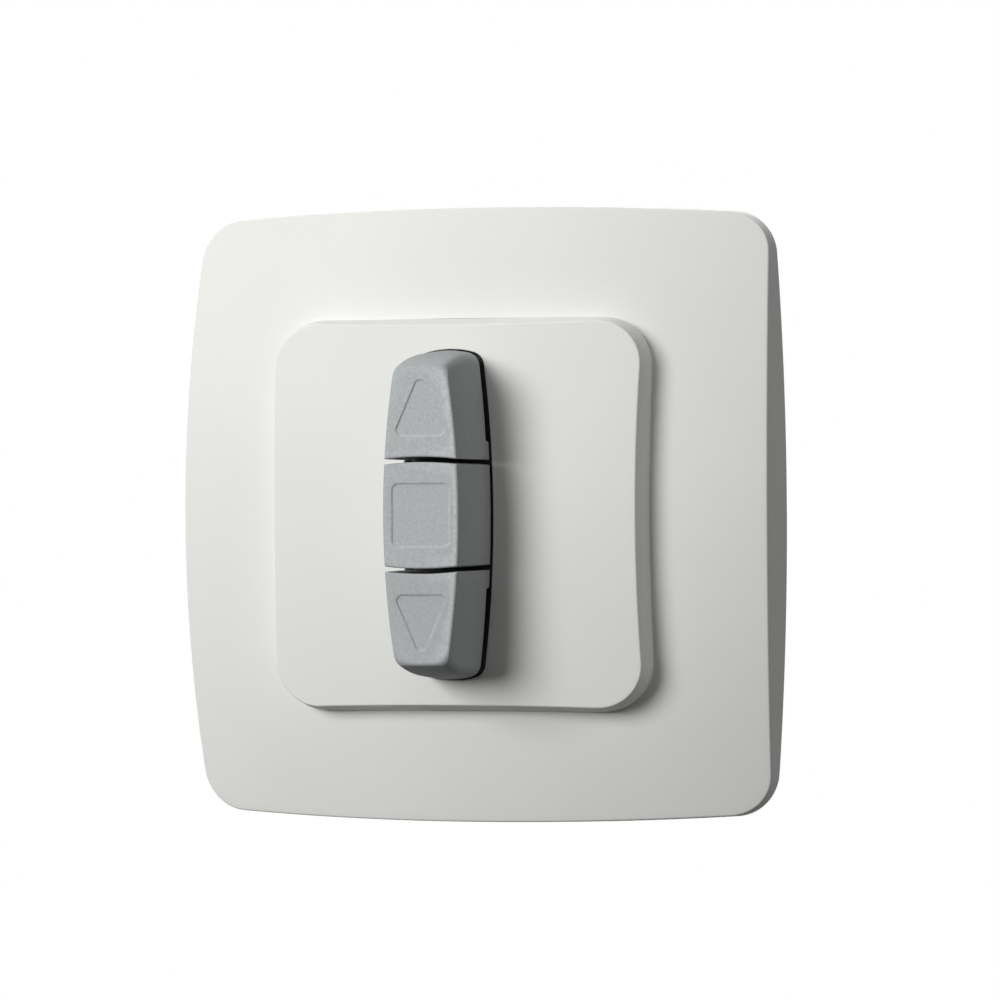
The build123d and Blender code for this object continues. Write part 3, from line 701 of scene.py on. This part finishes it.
# A node with its settings and its inputs
def addNode(tree, kind, settings=None, **inputs):
    made = tree.nodes.new(kind)
    for name, value in (settings or {}).items():
        setattr(made, name, value)
    for name, value in inputs.items():
        feed(tree, made.inputs[name.replace("_", " ")], value)
    return made


def calculate(tree, operation, first, second, clamped=False):
    made = addNode(tree, "ShaderNodeMath", {"operation": operation, "use_clamp": clamped})
    feed(tree, made.inputs[0], first)
    feed(tree, made.inputs[1], second)
    return made.outputs[0]


# A Mix node has its two values at inputs 2 and 3, and its two colours at inputs 6 and 7
def mixValues(tree, share, first, second):
    mixed = addNode(tree, "ShaderNodeMix", Factor=share)
    feed(tree, mixed.inputs[2], first)
    feed(tree, mixed.inputs[3], second)
    return mixed.outputs[0]


# A colour that covers another where the mask is one
def coverColour(tree, mask, under, cover):
    covered = addNode(tree, "ShaderNodeMix", {"data_type": "RGBA"})
    feed(tree, covered.inputs[0], mask)
    feed(tree, covered.inputs[6], under)
    feed(tree, covered.inputs[7], (*cover, 1))
    return covered.outputs[2]


def newGroup(name, inputs, outputs):
    tree = bpy.data.node_groups.new(name, "ShaderNodeTree")
    for title, value in inputs.items():
        socket = tree.interface.new_socket(title, in_out="INPUT", socket_type="NodeSocketFloat")
        socket.default_value = value
    for title in outputs:
        tree.interface.new_socket(title, in_out="OUTPUT", socket_type="NodeSocketFloat")
    return tree, tree.nodes.new("NodeGroupInput"), tree.nodes.new("NodeGroupOutput")


coarseShare = 0.37  # scale of the grain's coarse layer, as a share of the fine one's
streakStretch = (1.0, 1.0, 0.03)
toneEnds = 0.3, 0.7  # noise keeps between about these


# Grain of a spark-eroded mould: two layers of fine noise, as a height and as a tone round a half
def mouldGrainGroup():
    tree, given, result = newGroup("mould grain", {"Scale": 4000.0, "Coarse": 0.35}, ["Height", "Tone"])
    place = addNode(tree, "ShaderNodeTexCoord").outputs["Object"]
    fine = addNode(tree, "ShaderNodeTexNoise", Vector=place, Scale=given.outputs["Scale"], Detail=3.0)
    coarseScale = calculate(tree, "MULTIPLY", given.outputs["Scale"], coarseShare)
    coarse = addNode(tree, "ShaderNodeTexNoise", Vector=place, Scale=coarseScale, Detail=1.0)
    mixed = mixValues(tree, given.outputs["Coarse"], fine.outputs[0], coarse.outputs[0])
    tree.links.new(mixed, result.inputs["Height"])
    tree.links.new(mixed, result.inputs["Tone"])
    return tree


# Slow change of tone over a moulding, from flow and handling
def slowToneGroup():
    tree, given, result = newGroup("slow tone", {"Scale": 40.0}, ["Tone"])
    place = addNode(tree, "ShaderNodeTexCoord").outputs["Object"]
    cloud = addNode(tree, "ShaderNodeTexNoise", Vector=place, Scale=given.outputs["Scale"], Detail=2.0)
    tree.links.new(cloud.outputs[0], result.inputs["Tone"])
    return tree


# Streaks of a drawn or rolled surface, long in one direction
def drawnStreaksGroup():
    tree, given, result = newGroup("drawn streaks", {"Scale": 3000.0}, ["Tone"])
    place = addNode(tree, "ShaderNodeTexCoord").outputs["Object"]
    stretched = addNode(tree, "ShaderNodeMapping", Vector=place, Scale=streakStretch)
    streak = addNode(
        tree, "ShaderNodeTexNoise", Vector=stretched.outputs[0], Scale=given.outputs["Scale"], Detail=4.0
    )
    tree.links.new(streak.outputs[0], result.inputs["Tone"])
    return tree


# Painted light: the piece's own painted light and shade, broken up by noise
def paintedLightGroup():
    tree, given, result = newGroup("painted light", {"Scale": 500.0, "Strength": 0.5}, ["Mask"])
    place = addNode(tree, "ShaderNodeTexCoord").outputs["Object"]
    paintedLightColour = addNode(tree, "ShaderNodeAttribute", {"attribute_name": "paintedLight"})
    patches = addNode(tree, "ShaderNodeTexNoise", Vector=place, Scale=given.outputs["Scale"], Detail=3.0)
    strong = calculate(tree, "MULTIPLY", patches.outputs[0], given.outputs["Strength"])
    mask = calculate(tree, "MULTIPLY", strong, paintedLightColour.outputs["Fac"], clamped=True)
    tree.links.new(mask, result.inputs["Mask"])
    return tree


mouldGrain = mouldGrainGroup()
slowTone = slowToneGroup()
drawnStreaks = drawnStreaksGroup()
paintedLightTree = paintedLightGroup()


def useGroup(tree, group, **inputs):
    return addNode(tree, "ShaderNodeGroup", {"node_tree": group}, **inputs)


def newMaterial(name):
    material = bpy.data.materials.new(name)
    material.use_nodes = True
    tree = material.node_tree
    return material, tree, tree.nodes["Principled BSDF"]


# Two colours mixed by a tone
def mixColours(tree, tone, dark, light):
    ramp = addNode(tree, "ShaderNodeValToRGB", Fac=tone)
    for element, position, colour in zip(ramp.color_ramp.elements, toneEnds, (dark, light)):
        element.position, element.color = position, (*colour, 1)
    return ramp.outputs[0]


def mapTone(tree, tone, low, high, fromLow=0.0, fromHigh=1.0):
    mapped = addNode(tree, "ShaderNodeMapRange", Value=tone)
    for name, value in (("From Min", fromLow), ("From Max", fromHigh), ("To Min", low), ("To Max", high)):
        mapped.inputs[name].default_value = value
    return mapped.outputs[0]


def bumpFrom(tree, shader, height, strength, depth):
    bump = addNode(tree, "ShaderNodeBump", Height=height, Strength=strength, Distance=depth)
    tree.links.new(bump.outputs[0], shader.inputs["Normal"])


# Moulded plastic: mould grain, a slow change of tone and, where the piece carries it, painted light
def mouldedPlastic(name, v):
    material, tree, shader = newMaterial(name)
    grain = useGroup(tree, mouldGrain, Scale=v["grain"], Coarse=v["coarse"])
    cloud = useGroup(tree, slowTone, Scale=v["cloud"])
    tone = mixValues(tree, v["speckle"], cloud.outputs["Tone"], grain.outputs["Tone"])
    colour = mixColours(tree, tone, v["dark"], v["light"])
    if "paintedLightColour" in v:
        # the paler colour painted over the mask is painted light
        paintedLight = useGroup(tree, paintedLightTree, Scale=v["paintedLightScale"], Strength=v["paintedLightStrength"])
        colour = coverColour(tree, paintedLight.outputs["Mask"], colour, v["paintedLightColour"])
    tree.links.new(colour, shader.inputs["Base Color"])
    rough = mapTone(tree, grain.outputs["Tone"], v["rough"] - v["roughSpread"], v["rough"] + v["roughSpread"])
    tree.links.new(rough, shader.inputs["Roughness"])
    bumpFrom(tree, shader, grain.outputs["Height"], v["bump"], v["depth"])
    shader.inputs["Specular IOR Level"].default_value = v["gloss"]
    return material


# Plated or drawn metal: streaks, a slow bloom and a fine pitted grain
def workedMetal(name, v):
    material, tree, shader = newMaterial(name)
    streaks = useGroup(tree, drawnStreaks, Scale=v["streaks"])
    bloom = useGroup(tree, slowTone, Scale=v["bloom"])
    grain = useGroup(tree, mouldGrain, Scale=v["grain"], Coarse=v["coarse"])
    tone = mixValues(tree, v["streakShare"], bloom.outputs["Tone"], streaks.outputs["Tone"])
    tree.links.new(mixColours(tree, tone, v["dark"], v["light"]), shader.inputs["Base Color"])
    rough = mapTone(tree, tone, v["rough"] - v["roughSpread"], v["rough"] + v["roughSpread"], *toneEnds)
    tree.links.new(rough, shader.inputs["Roughness"])
    height = mixValues(tree, v["streakShare"], grain.outputs["Height"], streaks.outputs["Tone"])
    bumpFrom(tree, shader, height, v["bump"], v["depth"])
    shader.inputs["Metallic"].default_value = 1.0
    return material


# Circuit board: copper tracks under green lacquer, which run across in some cells and up in others, and
# tinned spots
def lacqueredBoard(name, v):
    material, tree, shader = newMaterial(name)
    place = addNode(tree, "ShaderNodeTexCoord").outputs["Object"]
    axes = addNode(tree, "ShaderNodeSeparateXYZ", Vector=place)
    cells = addNode(tree, "ShaderNodeTexVoronoi", {"distance": "CHEBYCHEV"}, Vector=place, Scale=v["cells"])
    pick = addNode(tree, "ShaderNodeSeparateColor", Color=cells.outputs["Color"])
    across = calculate(tree, "GREATER_THAN", pick.outputs[0], v["acrossShare"])
    sideways = mixValues(tree, across, axes.outputs["X"], axes.outputs["Z"])
    steps = calculate(tree, "MULTIPLY", sideways, 1 / v["trackPitch"])
    ramp = calculate(tree, "PINGPONG", steps, v["trackTurn"])
    track = mapTone(tree, ramp, 0.0, 1.0, *v["trackEdge"])
    cloud = useGroup(tree, slowTone, Scale=v["cloud"])
    lacquer = mixColours(tree, cloud.outputs["Tone"], v["dark"], v["light"])
    colour = coverColour(tree, track, lacquer, v["track"])
    spots = addNode(tree, "ShaderNodeTexVoronoi", Vector=place, Scale=v["spots"])
    tinned = mapTone(tree, spots.outputs["Distance"], 1.0, 0.0, v["spotSize"], v["spotSize"] + v["spotEdge"])
    tree.links.new(coverColour(tree, tinned, colour, v["tin"]), shader.inputs["Base Color"])
    tree.links.new(tinned, shader.inputs["Metallic"])
    tree.links.new(mapTone(tree, cloud.outputs["Tone"], *v["rough"]), shader.inputs["Roughness"])
    bumpFrom(tree, shader, track, v["bump"], v["trackDepth"])
    return material


whitePlastic = {
    "dark": (0.735, 0.74, 0.712),
    "light": (0.768, 0.773, 0.745),
    "grain": 3500.0,
    "coarse": 0.4,
    "cloud": 45.0,
    "speckle": 0.3,
    "rough": 0.62,
    "roughSpread": 0.06,
    "gloss": 0.08,
    "bump": 0.25,
    "depth": 0.00002,
}
keyPlastic = {
    "dark": (0.315, 0.328, 0.334),
    "light": (0.403, 0.416, 0.422),
    # paler grey painted where the keys carry painted light and the painted highlight band
    "paintedLightColour": (0.6, 0.62, 0.63),
    "paintedLightScale": 2600.0,
    "paintedLightStrength": 0.7,
    "grain": 5200.0,
    "coarse": 0.35,
    "cloud": 60.0,
    "speckle": 0.85,
    "rough": 0.6,
    "roughSpread": 0.1,
    "gloss": 0.02,
    "bump": 0.55,
    "depth": 0.00006,
}
blackPlastic = {
    "dark": (0.008, 0.008, 0.009),
    "light": (0.016, 0.016, 0.017),
    "grain": 3000.0,
    "coarse": 0.4,
    "cloud": 80.0,
    "speckle": 0.5,
    "rough": 0.6,
    "roughSpread": 0.1,
    "gloss": 0.3,
    "bump": 0.3,
    "depth": 0.00003,
}
housingPlastic = blackPlastic | {
    "dark": (0.19, 0.195, 0.20),
    "light": (0.25, 0.255, 0.26),
    "grain": 2200.0,
    "cloud": 70.0,
    "bump": 0.6,
    "depth": 0.00005,
}
terminalPlastic = blackPlastic | {"dark": (0.085, 0.085, 0.09), "light": (0.12, 0.12, 0.125), "rough": 0.5}
componentPlastic = blackPlastic | {"dark": (0.022, 0.022, 0.026), "light": (0.04, 0.04, 0.045), "rough": 0.45}
fusePlastic = componentPlastic | {"dark": (0.09, 0.045, 0.025), "light": (0.13, 0.065, 0.035)}
sleevePlastic = componentPlastic | {"dark": (0.015, 0.02, 0.06), "light": (0.025, 0.035, 0.09), "rough": 0.35}
capacitorFilm = blackPlastic | {
    "dark": (0.48, 0.3, 0.07),
    "light": (0.6, 0.4, 0.12),
    "rough": 0.4,
    "gloss": 0.5,
}
varistorLacquer = blackPlastic | {
    "dark": (0.045, 0.09, 0.32),
    "light": (0.075, 0.15, 0.44),
    "grain": 900.0,
    "rough": 0.22,
    "gloss": 0.5,
    "depth": 0.00012,
}
platedSteel = {
    "dark": (0.42, 0.425, 0.42),
    "light": (0.53, 0.53, 0.52),
    "streaks": 2500.0,
    "streakShare": 0.45,
    "bloom": 130.0,
    "grain": 5000.0,
    "coarse": 0.4,
    "rough": 0.42,
    "roughSpread": 0.1,
    "bump": 0.35,
    "depth": 0.00002,
}
screwSteel = platedSteel | {
    "dark": (0.5, 0.48, 0.42),
    "light": (0.68, 0.66, 0.6),
    "bloom": 600.0,
    "rough": 0.3,
}
contactBrass = platedSteel | {
    "dark": (0.6, 0.45, 0.2),
    "light": (0.78, 0.63, 0.34),
    "bloom": 500.0,
    "rough": 0.3,
}
springSteel = platedSteel | {
    "dark": (0.45, 0.45, 0.46),
    "light": (0.64, 0.64, 0.66),
    "bloom": 900.0,
    "rough": 0.25,
}
greenBoard = {
    "dark": (0.014, 0.09, 0.036),
    "light": (0.022, 0.125, 0.052),
    "track": (0.05, 0.22, 0.09),
    "tin": (0.72, 0.71, 0.68),
    "cells": 170.0,
    "acrossShare": 0.5,
    "trackPitch": 0.0013,
    "trackTurn": 0.5,
    "trackEdge": (0.24, 0.3),
    "trackDepth": 0.00004,
    "spots": 260.0,
    "spotSize": 0.12,
    "spotEdge": 0.03,
    "cloud": 90.0,
    "rough": (0.25, 0.4),
    "bump": 0.5,
}
finishes = {
    "white_plastic_finish": (mouldedPlastic, whitePlastic, [
        "cover_frame_moulding", "centre_plate_moulding",
        "up_switch_stem", "stop_switch_stem", "down_switch_stem",
    ]),
    "key_plastic_finish": (mouldedPlastic, keyPlastic, ["up_key_cap", "stop_key_cap", "down_key_cap"]),
    "black_plastic_finish": (mouldedPlastic, blackPlastic, ["key_bed", "link_header"]),
    "housing_plastic_finish": (mouldedPlastic, housingPlastic, ["insert_housing", "insert_lid"]),
    "terminal_plastic_finish": (mouldedPlastic, terminalPlastic, ["terminal_block"]),
    "component_plastic_finish": (mouldedPlastic, componentPlastic, [
        "controller_chip", "up_relay", "down_relay", "up_switch", "stop_switch", "down_switch",
    ]),
    "fuse_plastic_finish": (mouldedPlastic, fusePlastic, ["fuse"]),
    "sleeve_plastic_finish": (mouldedPlastic, sleevePlastic, ["smoothing_capacitor"]),
    "capacitor_film_finish": (mouldedPlastic, capacitorFilm, ["dropper_capacitor"]),
    "varistor_lacquer_finish": (mouldedPlastic, varistorLacquer, ["varistor"]),
    "plated_steel_finish": (workedMetal, platedSteel, ["support_plate"]),
    "screw_steel_finish": (workedMetal, screwSteel, ["assembly_screws", "board_screws", "terminal_screws"]),
    "contact_brass_finish": (workedMetal, contactBrass, ["terminal_clamps", "link_pins"]),
    "spring_steel_finish": (workedMetal, springSteel, [
        "up_return_spring", "stop_return_spring", "down_return_spring",
    ]),
    "board_finish": (lacqueredBoard, greenBoard, ["key_board", "power_board"]),
}
for title, (maker, values, wearers) in finishes.items():
    finish = maker(title, values)
    for wearer in wearers:
        if wearer in nodes:
            for slot in nodes[wearer].material_slots:
                slot.material = finish
        else:
            bpy.data.objects[wearer].data.materials.append(finish)
print("finished", len(finishes), "materials")


# Light: a soft lamp from the left, weaker ones from the front, from above and from the right, one for the
# back, and a dim surround; in metres
studio = {
    "lamps": {
        "key_lamp": {"from": (-0.44, -0.86, 0.25), "size": 0.57, "power": 13.5},
        "front_lamp": {"from": (0.1, -0.95, 0.3), "size": 0.9, "power": 0.8},
        "top_lamp": {"from": (-0.3, -0.05, 0.95), "size": 0.9, "power": 4.7},
        "side_lamp": {"from": (0.87, -0.15, 0.47), "size": 0.7, "power": 2.75},
        "back_lamp": {"from": (-0.25, 0.68, 0.7), "size": 0.5, "power": 10.0},
    },
    "distance": 1.2,
    "surround": 0.02,
}
paperFloor = {
    "level": -0.5,
    "radius": 0.4,
    "innerShare": 0.05,
    "rings": 12,
    "steps": 96,
    "cloud": 12.0,
    "dark": (0.84, 0.84, 0.835),
    "light": (0.87, 0.87, 0.865),
    "thrownBack": (0.12, 0.12, 0.12),
    "rough": 0.9,
}


def makeLamp(name, direction, distance, size, power):
    data = bpy.data.lights.new(name, "AREA")
    data.shape = "DISK"
    data.size = size
    data.energy = power
    lamp = bpy.data.objects.new(name, data)
    bpy.context.scene.collection.objects.link(lamp)
    back = np.array(direction) / np.linalg.norm(direction)
    side = np.cross((0, 0, 1), back)
    side /= np.linalg.norm(side)
    lamp.matrix_world = poseFrom(side, np.cross(back, side), back, back * distance)


# Disc of floor in rings, wound to face up
def makeFloor(v=paperFloor):
    turn = np.linspace(0, 2 * np.pi, v["steps"], endpoint=False)
    radius = np.linspace(v["innerShare"], 1, v["rings"])[:, None] * v["radius"]
    level = np.full((v["rings"], v["steps"]), v["level"])
    rings = np.stack([radius * np.cos(turn), -radius * np.sin(turn), level], axis=-1)
    points, faces = skin(rings, firstPole=np.array([0, 0, v["level"]]))
    mesh = bpy.data.meshes.new("floor")
    mesh.from_pydata(points.tolist(), [], faces)
    floor = bpy.data.objects.new("floor", mesh)
    bpy.context.scene.collection.objects.link(floor)
    material, tree, shader = newMaterial("floor_paper")
    cloud = useGroup(tree, slowTone, Scale=v["cloud"])
    paper = mixColours(tree, cloud.outputs["Tone"], v["dark"], v["light"])
    # the floor looks pale but throws little light back up
    bounced = addNode(tree, "ShaderNodeLightPath").outputs["Is Diffuse Ray"]
    tree.links.new(coverColour(tree, bounced, paper, v["thrownBack"]), shader.inputs["Base Color"])
    shader.inputs["Roughness"].default_value = v["rough"]
    # from below the floor is clear
    below = addNode(tree, "ShaderNodeNewGeometry").outputs["Backfacing"]
    tree.links.new(calculate(tree, "SUBTRACT", 1.0, below), shader.inputs["Alpha"])
    mesh.materials.append(material)


def makeStudio(v=studio):
    for name, lamp in v["lamps"].items():
        makeLamp(name, lamp["from"], v["distance"], lamp["size"], lamp["power"])
    makeFloor()
    # plain white where it is seen, mirrored or seen through, and dim as a light
    world = bpy.data.worlds.new("surround")
    bpy.context.scene.world = world
    world.use_nodes = True
    tree = world.node_tree
    tree.nodes.clear()
    path = addNode(tree, "ShaderNodeLightPath")
    seen = path.outputs["Is Camera Ray"]
    for ray in ("Is Glossy Ray", "Is Transmission Ray"):
        seen = calculate(tree, "MAXIMUM", seen, path.outputs[ray])
    dim = addNode(tree, "ShaderNodeBackground", Color=(1, 1, 1, 1), Strength=v["surround"])
    bright = addNode(tree, "ShaderNodeBackground", Color=(1, 1, 1, 1), Strength=1.0)
    chosen = addNode(tree, "ShaderNodeMixShader", Fac=seen)
    tree.links.new(dim.outputs[0], chosen.inputs[1])
    tree.links.new(bright.outputs[0], chosen.inputs[2])
    tree.links.new(chosen.outputs[0], addNode(tree, "ShaderNodeOutputWorld").inputs[0])


makeStudio()
